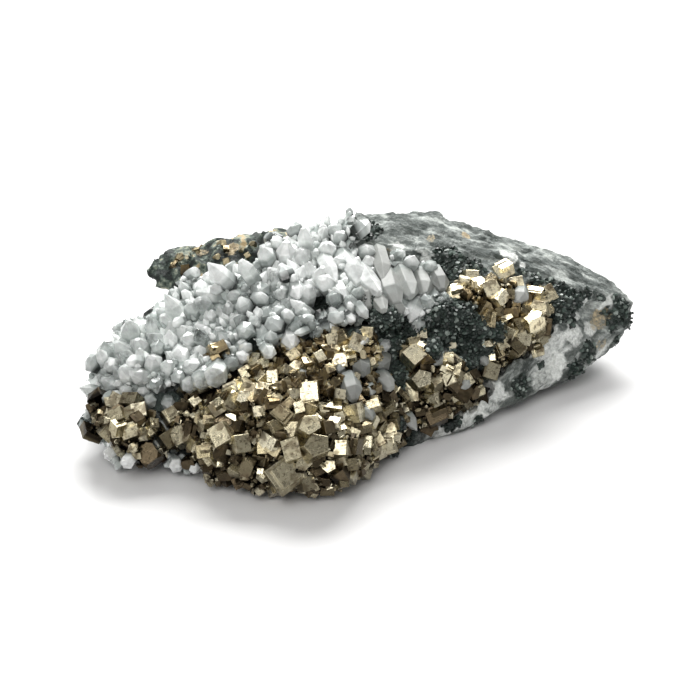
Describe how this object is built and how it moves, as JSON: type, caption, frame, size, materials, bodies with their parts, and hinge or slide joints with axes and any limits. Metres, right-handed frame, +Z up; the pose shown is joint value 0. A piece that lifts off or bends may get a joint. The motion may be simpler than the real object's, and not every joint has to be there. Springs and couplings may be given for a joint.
{
  "type": "pyrite in quartz cluster",
  "caption": "Loose mineral specimen: a wedge of dark chlorite rock with a crust of quartz points on its upper left and masses of pyrite cubes along its front, resting on a flat break.",
  "frame": {"origin": "middle of the specimen's underside, on the surface that it lies on", "axes": "+X along the specimen's length, from the quartz end to the bare rock end, +Y away from the display side, +Z up"},
  "size_m": [0.0698, 0.0424, 0.0225],
  "materials": {
    "chlorite_rock": "rough dark green chlorite rock, grey and milky white towards the right",
    "quartz": "clear to milky white natural crystal, glossy faces",
    "pyrite": "pale brassy metallic crystal with fine striations and brown tarnish"
  },
  "bodies": {
    "root": {"host_rock": "chlorite_rock", "quartz_crust": "quartz", "pyrite_front": "pyrite", "pyrite_left": "pyrite", "pyrite_middle": "pyrite", "pyrite_right": "pyrite"}
  },
  "joints": []
}
